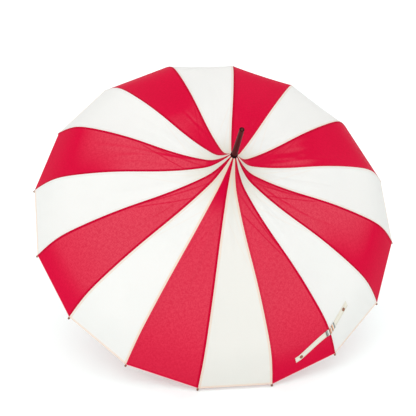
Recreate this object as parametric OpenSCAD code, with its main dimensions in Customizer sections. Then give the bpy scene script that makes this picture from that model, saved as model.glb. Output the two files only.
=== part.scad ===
// Stick umbrella with sixteen ribs and a pagoda-shaped canopy, drawn open.
// Millimetres. The Z axis runs along the shaft and points out of the ferrule.
// Z = 0 is the plane where the ferrule's round end begins.
// The crook of the handle opens toward +X.

/* [Canopy] */

// Distance from the shaft axis to a corner of the hem
rim_r = 450; // [430:5:470]
// Thickness of the canopy cloth
cloth_t = 0.5; // [0.4:0.1:0.6]
// Height of the canopy's peak above the rib pivots
peak_h = 47; // [44:1:50]
// How far a panel sinks between two ribs near the hem
panel_sag = 5; // [0:1:8]

/* [Ribs and stretchers] */

// Width of a rib channel
rib_w = 2.4; // [2.3:0.1:2.5]
// Height of a rib channel
rib_h = 3; // [2.8:0.1:3.2]
// Width of a stretcher channel
stretcher_w = 2.2; // [2.1:0.1:2.3]
// Height of a stretcher channel
stretcher_h = 2.6; // [2.4:0.1:2.8]
// Share of the rib's length at which its stretcher is riveted
rivet_share = 0.42; // [0.41:0.005:0.45]
// Length of the cap that shows past the hem at a rib's tip
tip_show = 8.5; // [6:0.5:10]

/* [Shaft] */

// Radius of the shaft tube
shaft_r = 5; // [4.9:0.05:5.1]
// Wall thickness of the shaft tube
shaft_wall = 0.8; // [0.6:0.1:1]
// Height of the open runner's wire ring above the hem corners
runner_rise = 9; // [0:1:20]
// Length of the runner's sleeve below its wire ring
sleeve_len = 56; // [52:1:60]

/* [Ferrule] */

// Radius of the ferrule's round end
ferrule_end_r = 5.7; // [5.5:0.1:6]
// Length of the ferrule's round end
ferrule_end_len = 14; // [12:1:16]
// Length of the ferrule's tapered part
ferrule_taper_len = 92; // [85:1:100]
// Radius of the ferrule at its foot
ferrule_foot_r = 7; // [6.6:0.1:7.2]

/* [Handle] */

// Radius of the handle's grip
grip_r = 11; // [10:0.5:12]
// Radius of the crook, measured to the middle of the grip
crook_r = 42; // [38:1:48]
// Length of the straight part of the grip
grip_len = 109; // [100:1:130]
// Length of the crook's short free leg
crook_leg = 16; // [8:1:24]

/* [Closure strap] */

// Width of the closure strap
strap_w = 15; // [12:0.5:16]
// Length of the strap on its longer side of the seam
strap_long = 104; // [90:2:110]
// Length of the strap on its shorter side of the seam
strap_short = 77; // [70:1:90]
// Radius of a snap fastener
snap_r = 4.5; // [4:0.1:5]

/* [Hidden] */

// Layout around the shaft
rib_count = 16;
pitch = 360 / rib_count;
small_fn = 14;
round_fn = 32;

// The pagoda curve of a rib: arcs from the pivot outward, each given as its share of the rib's
// length and its slope below level, in degrees, at its outer end. It is steep at the pivot,
// nearly level halfway out and steep again at the brim.
first_slope = 40.5;
rib_arcs = [[0.24, 23], [0.16, 15], [0.36, 31.7], [0.12, 55], [0.12, 62.4]];
arc_steps = [4, 3, 4, 4, 2];
last_arc = len(rib_arcs) - 1;
pivot_r = 13;
cloth_gap = 0.65;
cloth_lift = rib_h / 2 + cloth_gap + cloth_t / 2;

// Shape of the arcs for a rib of length 1
function slope_in(i) = i == 0 ? first_slope : rib_arcs[i - 1][1];
function slope_at(i, t) = slope_in(i) + t * (rib_arcs[i][1] - slope_in(i));
function unit_arc_r(i) = rib_arcs[i][0] * 180 / PI / (rib_arcs[i][1] - slope_in(i));
function slope_dir(slope) = [sin(slope), cos(slope)];
function unit_step(i, t) = unit_arc_r(i) * (slope_dir(slope_at(i, t)) - slope_dir(slope_in(i)));
function unit_start(i) = i == 0 ? [0, 0] : unit_start(i - 1) + unit_step(i - 1, 1);
unit_end = unit_start(last_arc) + unit_step(last_arc, 1);
brim_slope = rib_arcs[last_arc][1];
rib_len = (rim_r - pivot_r - cloth_lift * sin(brim_slope)) / unit_end[0];

// Heights along the shaft
seat_z = -ferrule_taper_len;
pivot_z = seat_z - peak_h - 8;
function rib_pt(i, t) = [pivot_r, pivot_z] + rib_len * (unit_start(i) + unit_step(i, t));
rim_z = rib_pt(last_arc, 1)[1] + cloth_lift * cos(brim_slope);
runner_z = rim_z + runner_rise;
shaft_top_z = seat_z + 24;

// Seam line of the canopy, as [distance from the axis, height]: a short curve from the peak down
// to the ribs, then the ribs' own curve lifted by the cloth's clearance
seam_first_r = 6.8;
peak_slope = 66;
peak_steps = 4;
peak_share = 0.43;
seam_top = [seam_first_r, pivot_z + peak_h];
function over_rib(i, t) = rib_pt(i, t) + cloth_lift * slope_dir(slope_at(i, t));
peak_foot = over_rib(0, peak_share);
foot_slope = slope_at(0, peak_share);
foot_drop = seam_top[1] - peak_foot[1] - (peak_foot[0] - seam_first_r) * tan(foot_slope);
bend_r = seam_first_r + foot_drop / (tan(peak_slope) - tan(foot_slope));
peak_bend = [bend_r, seam_top[1] - (bend_r - seam_first_r) * tan(peak_slope)];
function peak_pt(t) = (1 - t) * (1 - t) * seam_top + 2 * t * (1 - t) * peak_bend + t * t * peak_foot;
function arc_first(i) = i == 0 ? peak_share : 0;
seam = [
  for (j = [0:peak_steps - 1]) peak_pt(j / peak_steps),
  for (i = [0:last_arc], j = [0:arc_steps[i] - 1])
    over_rib(i, arc_first(i) + (1 - arc_first(i)) * j / arc_steps[i]),
  over_rib(last_arc, 1)
];

// The rib's rivet and the stretcher between it and the runner
pin_r = 0.6;
hole_r = 0.68;
blade_t = 1.1;
eye_r = 2;
rivet_drop = rib_h / 2 + 2.1;
rivet_arc = 2;
rivet_t = (rivet_share - rib_arcs[0][0] - rib_arcs[1][0]) / rib_arcs[rivet_arc][0];
rivet_slope = slope_at(rivet_arc, rivet_t);
rivet_at = rib_pt(rivet_arc, rivet_t) - rivet_drop * slope_dir(rivet_slope);
wire_r = 12.5;
stretcher_run = [wire_r, runner_z] - rivet_at;
stretcher_len = norm(stretcher_run);
stretcher_tilt = atan2(stretcher_run[1], stretcher_run[0]);

// The closed umbrella, which places the lower catch and the handle
close_turn = 57;
rivet_arm = rivet_at - [pivot_r, pivot_z];
closed_r = pivot_r + rivet_arm[0] * cos(close_turn) + rivet_arm[1] * sin(close_turn);
closed_z = pivot_z - rivet_arm[0] * sin(close_turn) + rivet_arm[1] * cos(close_turn);
closed_reach = closed_r - wire_r;
closed_runner_z = closed_z - sqrt(stretcher_len * stretcher_len - closed_reach * closed_reach);
handle_top_z = closed_runner_z - sleeve_len - 14;
crook_z = handle_top_z - grip_len;
shaft_foot_z = handle_top_z - 55;

// Runner and catches
slip = 0.08;
hub_r = 8.6;
crown_r = 15;
crown_h = 6;
slot_foot_r = 9.6;
key_w = 2.6;
key_r = 7.5;
catch_t = 1.8;
catch_len = 29.5;
catch_out_r = 7.1;
catch_pin_r = 0.75;
catch_gap = 0.5;
top_catch_z = runner_z - sleeve_len - catch_gap - catch_len;
bottom_catch_z = closed_runner_z + crown_h / 2 + catch_gap + catch_len;

// Azimuth of a rib and of the middle of a panel
function rib_az(k) = pitch * (k - 0.5);
function panel_az(k) = pitch * k;

// Puts a shape drawn in the XZ plane, where X is the distance from the shaft, onto rib k
module on_rib(k) {
  rotate([0, 0, rib_az(k)]) children();
}

// A straight round piece across the XZ plane, centred on it
module cross_pin(r, h, at) {
  translate([at[0], 0, at[1]]) rotate([90, 0, 0]) cylinder(r = r, h = h, center = true, $fn = small_fn);
}

// Section of an open channel: x is the height above its middle, y its width. The slot opens down.
module channel_section(w, h, wall) {
  polygon([
    [h / 2, -w / 2], [h / 2, w / 2], [-h / 2, w / 2], [-h / 2, w / 2 - wall],
    [h / 2 - wall, w / 2 - wall], [h / 2 - wall, wall - w / 2], [-h / 2, wall - w / 2],
    [-h / 2, -w / 2]
  ]);
}

// One arc of a rib channel between two shares t0 and t1 of arc i
module rib_arc(i, t0, t1) {
  arc_r = rib_len * unit_arc_r(i);
  slope_0 = slope_at(i, t0);
  slope_1 = slope_at(i, t1);
  turn = abs(slope_1 - slope_0);
  centre = rib_pt(i, 0) - arc_r * slope_dir(slope_in(i));
  start = arc_r > 0 ? 90 - slope_1 : 270 - slope_0;
  translate([centre[0], 0, centre[1]])
    rotate([90, 0, 0])
      rotate_extrude(angle = turn, start = start, $fn = floor(360 * arc_steps[i] / turn))
        translate([abs(arc_r), 0])
          mirror([arc_r > 0 ? 0 : 1, 0])
            channel_section(rib_w, rib_h, rib_wall);
}

// Each arc runs on a little into the next, as a share of its length, so a channel is one solid
arc_lap = 0.004;
rib_wall = 0.5;
tip_seat = 6;
tip_start = 0.5;
channel_start = 6;
first_arc_len = rib_len * rib_arcs[0][0];
last_arc_len = rib_len * rib_arcs[last_arc][0];

// The flattened inner end of a rib, with the hole for the notch wire
module rib_eye() {
  difference() {
    union() {
      cross_pin(eye_r, blade_t, [pivot_r, pivot_z]);
      translate([pivot_r, 0, pivot_z])
        rotate([0, first_slope, 0])
          translate([0, -blade_t / 2, -rib_h / 2 + 0.2])
            cube([channel_start + 6, blade_t, rib_h - 0.5]);
    }
    cross_pin(hole_r, 4, [pivot_r, pivot_z]);
  }
}

// Two lugs under a rib that hold its rivet
module rib_lugs() {
  lug_len = 4;
  difference() {
    translate([rivet_at[0], 0, rivet_at[1]])
      rotate([0, rivet_slope, 0])
        for (side = [-1, 1])
          translate([-lug_len / 2, side * (rib_w - rib_wall) / 2 - rib_wall / 2, -1.8])
            cube([lug_len, rib_wall, rivet_drop + 1]);
    cross_pin(pin_r + 0.02, 4, rivet_at);
  }
}

// The cap on a rib's tip
module rib_tip() {
  bore_r = 1.97;
  cap_r = 2.6;
  cap_len = tip_show;
  at = rib_pt(last_arc, 1 + tip_start / last_arc_len);
  translate([at[0], 0, at[1]])
    rotate([0, 90 + brim_slope, 0])
      rotate_extrude($fn = small_fn)
        polygon([
          [bore_r, 0], [cap_r, 0], [cap_r, cap_len - 1.4], [1.4, cap_len], [0, cap_len],
          [0, tip_seat + 0.1], [bore_r, tip_seat + 0.1]
        ]);
}

// A whole rib: formed channel, eye, lugs, rivet and tip cap
module rib(k) {
  color("gainsboro") on_rib(k) {
    union() {
      rib_arc(0, channel_start / first_arc_len, 1 + arc_lap);
      for (i = [1:last_arc - 1]) rib_arc(i, 0, 1 + arc_lap);
      rib_arc(last_arc, 0, 1 + tip_seat / last_arc_len);
      rib_eye();
      rib_lugs();
    }
    cross_pin(pin_r, rib_w + 0.3, rivet_at);
    rib_tip();
  }
}

// A stretcher: straight channel with a flattened, drilled blade at each end
module stretcher(k) {
  blade_len = 9;
  overlap = 5;
  blade_h = stretcher_h - 0.4;
  stretcher_wall = 0.45;
  color("lightsteelblue") on_rib(k)
    translate([rivet_at[0], 0, rivet_at[1]])
      rotate([0, -stretcher_tilt, 0]) {
        difference() {
          union() {
            translate([blade_len, 0, 0])
              rotate([0, 90, 0])
                linear_extrude(stretcher_len - 2 * blade_len)
                  channel_section(stretcher_w, stretcher_h, stretcher_wall);
            for (x = [0, stretcher_len]) cross_pin(1.6, blade_t, [x, 0]);
            for (x = [0, stretcher_len - blade_len - overlap])
              translate([x, -blade_t / 2, -blade_h / 2 + 0.1])
                cube([blade_len + overlap, blade_t, blade_h]);
          }
          for (x = [0, stretcher_len]) cross_pin(hole_r, 4, [x, 0]);
        }
      }
}

// A canopy panel between ribs k and k + 1: closed cloth solid with a middle line that sinks a
// little between the ribs where the canopy curves over, and lifts a little where it curves up
seam_gap = 0.1;
hollow_end_r = 225;
function sag(r) = r < hollow_end_r
  ? 1.5 * sin(180 * (r - seam_first_r) / (hollow_end_r - seam_first_r))
  : -panel_sag * sin(180 * (r - hollow_end_r) / (rim_r - hollow_end_r));
function seam_slope(j) =
  let (a = seam[max(j - 1, 0)], b = seam[min(j + 1, len(seam) - 1)])
  atan2(a[1] - b[1], b[0] - a[0]);
function seam_row(j, off) =
  let (n = off * slope_dir(seam_slope(j)),
       r = seam[j][0] + n[0],
       z = seam[j][1] + n[1],
       half = r * sin(pitch / 2) - seam_gap / 2,
       m = sag(seam[j][0]) * slope_dir(seam_slope(j)))
  [[r * cos(pitch / 2), -half, z],
   [r * cos(pitch / 2) + m[0], 0, z + m[1]],
   [r * cos(pitch / 2), half, z]];
function sheet(off) = [for (j = [0:len(seam) - 1]) each seam_row(j, off)];

module panel(k, tint) {
  rows = len(seam);
  last = rows - 1;
  sheet_n = 3 * rows;
  top = sheet(cloth_t / 2);
  bottom = sheet(-cloth_t / 2);
  top_faces = [for (j = [0:last - 1], c = [0:1]) each
    [[3 * j + c, 3 * j + c + 1, 3 * j + c + 4], [3 * j + c, 3 * j + c + 4, 3 * j + c + 3]]];
  bottom_faces = [for (f = top_faces) [f[2] + sheet_n, f[1] + sheet_n, f[0] + sheet_n]];
  side_faces = [for (j = [0:last - 1]) each
    [[3 * j, 3 * j + 3, sheet_n + 3 * j + 3, sheet_n + 3 * j],
     [3 * j + 2, sheet_n + 3 * j + 2, sheet_n + 3 * j + 5, 3 * j + 5]]];
  end_faces = [for (c = [0:1]) each
    [[c, sheet_n + c, sheet_n + c + 1, c + 1],
     [3 * last + c, 3 * last + c + 1, sheet_n + 3 * last + c + 1, sheet_n + 3 * last + c]]];
  color(tint)
    rotate([0, 0, panel_az(k)])
      polyhedron(points = concat(top, bottom),
                 faces = concat(top_faces, bottom_faces, side_faces, end_faces));
}

red = "crimson";
white = "whitesmoke";

// The pivot ring at the top of the shaft: sixteen slots for the ribs and a groove for their wire,
// with a neck that carries the canopy's peak
fixed_gap = 0.03;
fixed_bore = shaft_r + fixed_gap;
wire_room = 0.65;

module wire_groove(ring_r, z) {
  rotate_extrude($fn = round_fn)
    translate([ring_r - wire_room, z - wire_room])
      square([wire_room + 5, 2 * wire_room]);
}

module rib_slots(foot_r, w, z, h) {
  for (k = [1:rib_count])
    rotate([0, 0, rib_az(k)])
      translate([foot_r, -w / 2, z - h / 2])
        cube([8, w, h]);
}

module top_notch() {
  rim = 15.5;
  neck_z = seam_top[1] - 2.5;
  color("dimgray") difference() {
    rotate_extrude($fn = round_fn)
      polygon([
        [fixed_bore, pivot_z - crown_h / 2], [rim, pivot_z - crown_h / 2],
        [rim, pivot_z + crown_h / 2], [hub_r, pivot_z + crown_h / 2],
        [hub_r, pivot_z + crown_h + 3], [6, neck_z], [fixed_bore, neck_z]
      ]);
    wire_groove(pivot_r, pivot_z);
    rib_slots(9.4, 1.5, pivot_z, crown_h + 2);
  }
}

module wire_ring(ring_r, z) {
  color("silver")
    rotate_extrude($fn = round_fn)
      translate([ring_r, z])
        circle(r = pin_r, $fn = small_fn);
}

module notch_wire() {
  wire_ring(pivot_r, pivot_z);
}

// Runner: a sleeve that slides on the shaft, its slotted crown, and a keyway that clears the catches
module runner() {
  foot_z = runner_z - sleeve_len;
  bore_r = shaft_r + slip;
  lip_r = hub_r + 1.2;
  color("dimgray") difference() {
    rotate_extrude($fn = round_fn)
      polygon([
        [bore_r, foot_z], [lip_r, foot_z], [lip_r, foot_z + 2.5], [hub_r, foot_z + 4],
        [hub_r, runner_z - crown_h / 2 - 5], [crown_r - 1.5, runner_z - crown_h / 2],
        [crown_r, runner_z - crown_h / 2], [crown_r, runner_z + crown_h / 2],
        [bore_r, runner_z + crown_h / 2]
      ]);
    wire_groove(wire_r, runner_z);
    rib_slots(slot_foot_r, 2.5, runner_z - 4, crown_h + 12);
    translate([0, -key_w / 2, foot_z - 1])
      cube([key_r, key_w, sleeve_len + crown_h]);
  }
}

module runner_wire() {
  wire_ring(wire_r, runner_z);
}

// A catch: flat spring plate on a cross pin, with a nose that stands out of the shaft
module catch_plate() {
  difference() {
    rotate([90, 0, 0])
      linear_extrude(catch_t, center = true)
        polygon([
          [-1.6, -1.6], [1.6, -1.6], [3.6, 7], [catch_out_r, catch_len - 0.5],
          [catch_out_r - 0.3, catch_len], [1.4, catch_len], [-1.6, 6]
        ]);
    cross_pin(catch_pin_r + 0.05, 4, [0, 0]);
  }
}

module top_catch() {
  color("silver") translate([0, 0, top_catch_z]) catch_plate();
}

module bottom_catch() {
  color("silver") translate([0, 0, bottom_catch_z]) mirror([0, 0, 1]) catch_plate();
}

// Shaft: steel tube with a window for each catch and the two catches' pins
module catch_window() {
  w = catch_t + 0.5;
  translate([shaft_r / 2, -w / 2, 8.5])
    cube([shaft_r, w, catch_len - 7.7]);
}

module shaft_tube() {
  color("silver") {
    difference() {
      translate([0, 0, shaft_foot_z])
        cylinder(r = shaft_r, h = shaft_top_z - shaft_foot_z, $fn = round_fn);
      translate([0, 0, shaft_foot_z - 1])
        cylinder(r = shaft_r - shaft_wall, h = shaft_top_z - shaft_foot_z + 2, $fn = round_fn);
      translate([0, 0, top_catch_z]) catch_window();
      translate([0, 0, bottom_catch_z]) mirror([0, 0, 1]) catch_window();
      for (z = [top_catch_z, bottom_catch_z]) cross_pin(catch_pin_r + 0.02, 12, [0, z]);
    }
    for (z = [top_catch_z, bottom_catch_z]) cross_pin(catch_pin_r, 2 * shaft_r - 0.3, [0, z]);
  }
}

// Ferrule: tapered tube over the shaft's end, round end piece and a plug let into its face
module ferrule() {
  rim_w = 2.3;
  plug_r = ferrule_end_r - rim_w;
  recess = 1.6;
  face_z = ferrule_end_len;
  color("saddlebrown") {
    rotate_extrude($fn = round_fn)
      polygon([
        [fixed_bore, seat_z + fixed_gap], [ferrule_foot_r, seat_z + fixed_gap],
        [ferrule_end_r, 0], [ferrule_end_r, face_z - 0.8], [ferrule_end_r - 0.8, face_z],
        [plug_r, face_z], [plug_r, face_z - recess], [0, face_z - recess],
        [0, shaft_top_z + 0.5], [fixed_bore, shaft_top_z + 0.5]
      ]);
    translate([0, 0, face_z - recess + fixed_gap])
      cylinder(r = plug_r - fixed_gap, h = 1.1, $fn = round_fn);
  }
}

// Collar that presses the canopy's peak down: its skirt follows the cloth
module ferrule_collar() {
  skirt_r = 8.2;
  inner_r = 6.3;
  rise = 1.9;
  inner_z = seam_top[1] + rise + (seam_first_r - inner_r) * tan(peak_slope);
  skirt_z = seam_top[1] + rise - (skirt_r - seam_first_r) * tan(peak_slope);
  color("sienna")
    rotate_extrude($fn = round_fn)
      polygon([
        [fixed_bore, inner_z], [inner_r, inner_z], [skirt_r, skirt_z], [skirt_r + 0.3, skirt_z + 0.8],
        [skirt_r, seat_z - 1], [skirt_r - 0.8, seat_z], [fixed_bore, seat_z]
      ]);
}

// Handle: grip with a bore for the shaft, round crook toward +X and a short free leg
module handle() {
  color("saddlebrown")
    difference() {
      union() {
        translate([0, 0, crook_z]) cylinder(r = grip_r, h = grip_len, $fn = round_fn);
        translate([crook_r, 0, crook_z])
          rotate([90, 0, 0])
            rotate_extrude(angle = 180, start = 180, $fn = round_fn)
              translate([crook_r, 0])
                circle(r = grip_r, $fn = round_fn);
        translate([2 * crook_r, 0, crook_z]) {
          cylinder(r = grip_r, h = crook_leg, $fn = round_fn);
          translate([0, 0, crook_leg]) sphere(r = grip_r, $fn = round_fn);
        }
      }
      translate([0, 0, shaft_foot_z - 1])
        cylinder(r = fixed_bore, h = handle_top_z - shaft_foot_z + 2, $fn = round_fn);
    }
}

module handle_collar() {
  band_t = 0.9;
  inner = grip_r + fixed_gap;
  color("goldenrod")
    rotate_extrude($fn = round_fn)
      polygon([
        [fixed_bore, handle_top_z + fixed_gap], [inner, handle_top_z + fixed_gap],
        [inner, handle_top_z - 12], [inner + band_t, handle_top_z - 12],
        [inner + band_t, handle_top_z + 1], [8, handle_top_z + 6], [fixed_bore, handle_top_z + 6]
      ]);
}

// Closure strap: a band that lies on the cloth across the seam of rib 15, a little askew, with a
// snap near each end. d is the distance from the seam, negative toward rib 14.
strap_rib = 15;
strap_r = 408.5 * rim_r / 450;
strap_skew = 0.17;
strap_t = 1;
strap_gap = 0.35;
snap_inset = 16;
function cloth_z(r) = lookup(r, seam);
function cloth_slope(r) = atan2(cloth_z(r - 5) - cloth_z(r + 5), 10);
function strap_pt(d, w, lift) =
  let (r0 = strap_r - strap_skew * d,
       r = r0 + w * cos(cloth_slope(r0)),
       half = r * sin(pitch / 2),
       off = abs(d) - half,
       n = slope_dir(cloth_slope(r)),
       up = lift + sag(r) * (1 - abs(off) / half),
       x = r * cos(pitch / 2) + up * n[0],
       y = off * (d < 0 ? -1 : 1),
       turn = d < 0 ? -pitch / 2 : pitch / 2)
  d == 0
    ? [r + lift * n[0], 0, cloth_z(r) + lift * n[1]]
    : [x * cos(turn) - y * sin(turn), x * sin(turn) + y * cos(turn), cloth_z(r) + up * n[1]];

module closure_strap() {
  low = cloth_t / 2 + strap_gap;
  high = low + strap_t;
  panel_half = strap_r * sin(pitch / 2);
  stops = [
    -strap_long, -panel_half - 2, -panel_half * 0.66, -panel_half * 0.33, 0,
    strap_short * 0.33, strap_short * 0.66, strap_short
  ];
  last = len(stops) - 1;
  side = strap_w / 2;
  points = [for (d = stops) each
    [strap_pt(d, -side, low), strap_pt(d, side, low), strap_pt(d, side, high),
     strap_pt(d, -side, high)]];
  skin = [for (j = [0:last - 1], c = [0:3]) each
    [[4 * j + c, 4 * j + (c + 1) % 4, 4 * j + 4 + (c + 1) % 4],
     [4 * j + c, 4 * j + 4 + (c + 1) % 4, 4 * j + 4 + c]]];
  ends = [[3, 2, 1, 0], [4 * last, 4 * last + 1, 4 * last + 2, 4 * last + 3]];
  color("wheat") on_rib(strap_rib) {
    polyhedron(points = points, faces = concat(skin, ends));
    for (d = [snap_inset - strap_long, strap_short - snap_inset]) strap_snap(d, high + 0.3);
  }
}

module strap_snap(d, lift) {
  turn = d < 0 ? -pitch / 2 : pitch / 2;
  translate(strap_pt(d, 0, lift))
    rotate([0, cloth_slope(strap_r - strap_skew * d), turn])
      cylinder(r1 = snap_r, r2 = snap_r - 0.7, h = 1.6, $fn = 20);
}

module panel_01() { panel(1, white); }
module panel_02() { panel(2, red); }
module panel_03() { panel(3, white); }
module panel_04() { panel(4, red); }
module panel_05() { panel(5, white); }
module panel_06() { panel(6, red); }
module panel_07() { panel(7, white); }
module panel_08() { panel(8, red); }
module panel_09() { panel(9, white); }
module panel_10() { panel(10, red); }
module panel_11() { panel(11, white); }
module panel_12() { panel(12, red); }
module panel_13() { panel(13, white); }
module panel_14() { panel(14, red); }
module panel_15() { panel(15, white); }
module panel_16() { panel(16, red); }
module rib_01() { rib(1); }
module rib_02() { rib(2); }
module rib_03() { rib(3); }
module rib_04() { rib(4); }
module rib_05() { rib(5); }
module rib_06() { rib(6); }
module rib_07() { rib(7); }
module rib_08() { rib(8); }
module rib_09() { rib(9); }
module rib_10() { rib(10); }
module rib_11() { rib(11); }
module rib_12() { rib(12); }
module rib_13() { rib(13); }
module rib_14() { rib(14); }
module rib_15() { rib(15); }
module rib_16() { rib(16); }
module stretcher_01() { stretcher(1); }
module stretcher_02() { stretcher(2); }
module stretcher_03() { stretcher(3); }
module stretcher_04() { stretcher(4); }
module stretcher_05() { stretcher(5); }
module stretcher_06() { stretcher(6); }
module stretcher_07() { stretcher(7); }
module stretcher_08() { stretcher(8); }
module stretcher_09() { stretcher(9); }
module stretcher_10() { stretcher(10); }
module stretcher_11() { stretcher(11); }
module stretcher_12() { stretcher(12); }
module stretcher_13() { stretcher(13); }
module stretcher_14() { stretcher(14); }
module stretcher_15() { stretcher(15); }
module stretcher_16() { stretcher(16); }

panel_01();
panel_02();
panel_03();
panel_04();
panel_05();
panel_06();
panel_07();
panel_08();
panel_09();
panel_10();
panel_11();
panel_12();
panel_13();
panel_14();
panel_15();
panel_16();
rib_01();
rib_02();
rib_03();
rib_04();
rib_05();
rib_06();
rib_07();
rib_08();
rib_09();
rib_10();
rib_11();
rib_12();
rib_13();
rib_14();
rib_15();
rib_16();
stretcher_01();
stretcher_02();
stretcher_03();
stretcher_04();
stretcher_05();
stretcher_06();
stretcher_07();
stretcher_08();
stretcher_09();
stretcher_10();
stretcher_11();
stretcher_12();
stretcher_13();
stretcher_14();
stretcher_15();
stretcher_16();
ferrule();
ferrule_collar();
shaft_tube();
top_notch();
notch_wire();
runner();
runner_wire();
top_catch();
bottom_catch();
handle();
handle_collar();
closure_strap();
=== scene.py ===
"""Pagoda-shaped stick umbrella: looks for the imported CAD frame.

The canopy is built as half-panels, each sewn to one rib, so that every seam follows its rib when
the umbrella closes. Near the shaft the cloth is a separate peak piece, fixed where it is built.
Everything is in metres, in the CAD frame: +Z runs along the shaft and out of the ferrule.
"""

import math

import bpy
import numpy as np
from mathutils import Matrix, Vector


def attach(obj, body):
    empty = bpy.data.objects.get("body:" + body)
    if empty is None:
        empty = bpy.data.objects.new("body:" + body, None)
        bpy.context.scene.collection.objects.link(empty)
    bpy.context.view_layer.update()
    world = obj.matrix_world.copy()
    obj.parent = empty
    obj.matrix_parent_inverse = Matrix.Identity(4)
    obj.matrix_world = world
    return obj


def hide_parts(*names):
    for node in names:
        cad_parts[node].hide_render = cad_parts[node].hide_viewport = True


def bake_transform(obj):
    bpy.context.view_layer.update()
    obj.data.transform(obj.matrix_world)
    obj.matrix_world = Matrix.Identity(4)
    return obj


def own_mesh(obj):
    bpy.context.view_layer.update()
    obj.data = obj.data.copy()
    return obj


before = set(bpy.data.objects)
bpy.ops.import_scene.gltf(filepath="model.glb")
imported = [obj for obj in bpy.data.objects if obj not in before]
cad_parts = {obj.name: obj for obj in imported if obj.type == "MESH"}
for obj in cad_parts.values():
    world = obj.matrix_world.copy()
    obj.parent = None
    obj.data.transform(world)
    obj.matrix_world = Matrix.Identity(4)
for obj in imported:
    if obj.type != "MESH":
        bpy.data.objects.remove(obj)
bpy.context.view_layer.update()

MM = 0.001
RIBS = 16
PITCH = 2 * math.pi / RIBS
HALF_PITCH = PITCH / 2

CLOTH_T = 0.4 * MM
THREAD_W = 0.45 * MM
STITCH_PITCH = 2.6 * MM
FELL_W = 6 * MM
HEM_W = 6 * MM
PEAK_END_R = 57 * MM

# Each faint line of painted shade, where the frame behind the cloth blocks light through it: where
# along the seam it starts, its gap there, its slope and its half-width
FAN_LINES = [(288 * MM, 4.5 * MM, 0.221, 2.6 * MM), (270 * MM, 2.2 * MM, 0.094, 3.0 * MM)]
# The faint lines start at the seam of rib k + 1 in these panels, and at that of rib k elsewhere
FAN_FROM_NEXT_RIB = (1, 2, 3, 4, 13, 14, 15, 16)
# How strongly the faint lines show, where it isn't fully
FAN_SHARE = {2: 0.6, 4: 0.3, 6: 0.8, 12: 0.35}
# How much less light comes from behind a panel, painted into its colour as shade. Panel 12 gets
# none at its neck, up to LIT_S
BACK_SHADE = {12: 0.2, 13: 0.4, 14: 0.15}
SHADED_NECK_PANEL = 12
SHADED_NECK_S = 95 * MM
LIT_S = 170 * MM
# How strongly the seam's fell shows in a half panel: more where it is pressed to that side.
# The key is (panel, side), and side is -1 at rib k and 1 at rib k + 1
FELL_STRENGTH = {
    (1, -1): 1.5,
    (2, -1): 0.4,
    (3, -1): 2.0,
    (3, 1): 2.2,
    (4, -1): 0.3,
    (5, -1): 1.8,
    (7, -1): 0.0,
    (7, 1): 0.3,
    (9, -1): 0.0,
    (9, 1): 0.3,
    (11, -1): 2.6,
    (11, 1): 4.0,
    (12, -1): 0.0,
    (13, -1): 2.8,
    (13, 1): 3.4,
    (14, -1): 0.25,
    (15, -1): 0.0,
    (15, 1): 0.8,
}

STRAP_RIB = 15
STRAP_W = 15 * MM
STRAP_T = 1.0 * MM
STRAP_LOW = CLOTH_T / 2 + 0.3 * MM
STRAP_LONG = 104 * MM
STRAP_SHORT = 77 * MM
TAB_MIDDLE = 3 * MM
TAB_HALF = 15.5 * MM
SNAP_INSET = 16 * MM


# --- shape helpers ---------------------------------------------------------------------------


def node_points(node):
    """The distinct vertices of a CAD node, in the CAD frame."""
    co = np.array([v.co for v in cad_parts[node].data.vertices], float).reshape(-1, 3)
    return np.unique(np.round(co, 7), axis=0)


def rib_azimuth(k):
    return PITCH * (k - 0.5)


def panel_azimuth(k):
    return PITCH * k


def turned(points, azimuth):
    """Points turned about the shaft axis."""
    c, s = math.cos(azimuth), math.sin(azimuth)
    x, y = points[..., 0], points[..., 1]
    return np.stack([x * c - y * s, x * s + y * c, points[..., 2]], axis=-1)


class SeamCurve:
    """The canopy's seam line in a rib's plane, by distance along it from the peak."""

    def __init__(self, points):
        self.points = points
        steps = np.hypot(*np.diff(points, axis=0).T)
        self.knots = np.concatenate([[0], np.cumsum(steps)])
        self.length = self.knots[-1]
        self.tangents = self._tangents()

    def _tangents(self):
        p, s = self.points, self.knots
        t = np.empty_like(p)
        t[0] = (p[1] - p[0]) / (s[1] - s[0])
        t[-1] = (p[-1] - p[-2]) / (s[-1] - s[-2])
        for i in range(1, len(p) - 1):
            a, b = s[i] - s[i - 1], s[i + 1] - s[i]
            before, after = (p[i] - p[i - 1]) / a, (p[i + 1] - p[i]) / b
            t[i] = (before * b + after * a) / (a + b)
        return t

    def at(self, s):
        """(distance from the axis, height) at each s."""
        s = np.clip(np.asarray(s, float), 0, self.length)
        i = np.clip(np.searchsorted(self.knots, s, side="right") - 1, 0, len(self.knots) - 2)
        span = self.knots[i + 1] - self.knots[i]
        t = ((s - self.knots[i]) / span)[..., None]
        span = span[..., None]
        p0, p1 = self.points[i], self.points[i + 1]
        m0, m1 = self.tangents[i] * span, self.tangents[i + 1] * span
        return (
            (2 * t**3 - 3 * t**2 + 1) * p0
            + (t**3 - 2 * t**2 + t) * m0
            + (3 * t**2 - 2 * t**3) * p1
            + (t**3 - t**2) * m1
        )

    def normal(self, s):
        """Outward unit normal, as (away from the axis, up)."""
        e = 0.5 * MM
        d = self.at(np.asarray(s) + e) - self.at(np.asarray(s) - e)
        d /= np.linalg.norm(d, axis=-1, keepdims=True)
        return np.stack([-d[..., 1], d[..., 0]], axis=-1)

    def s_at_radius(self, r):
        """Distance along the seam at which it is r from the axis."""
        grid = np.linspace(0, self.length, 4000)
        return np.interp(r, self.at(grid)[:, 0], grid)


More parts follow.
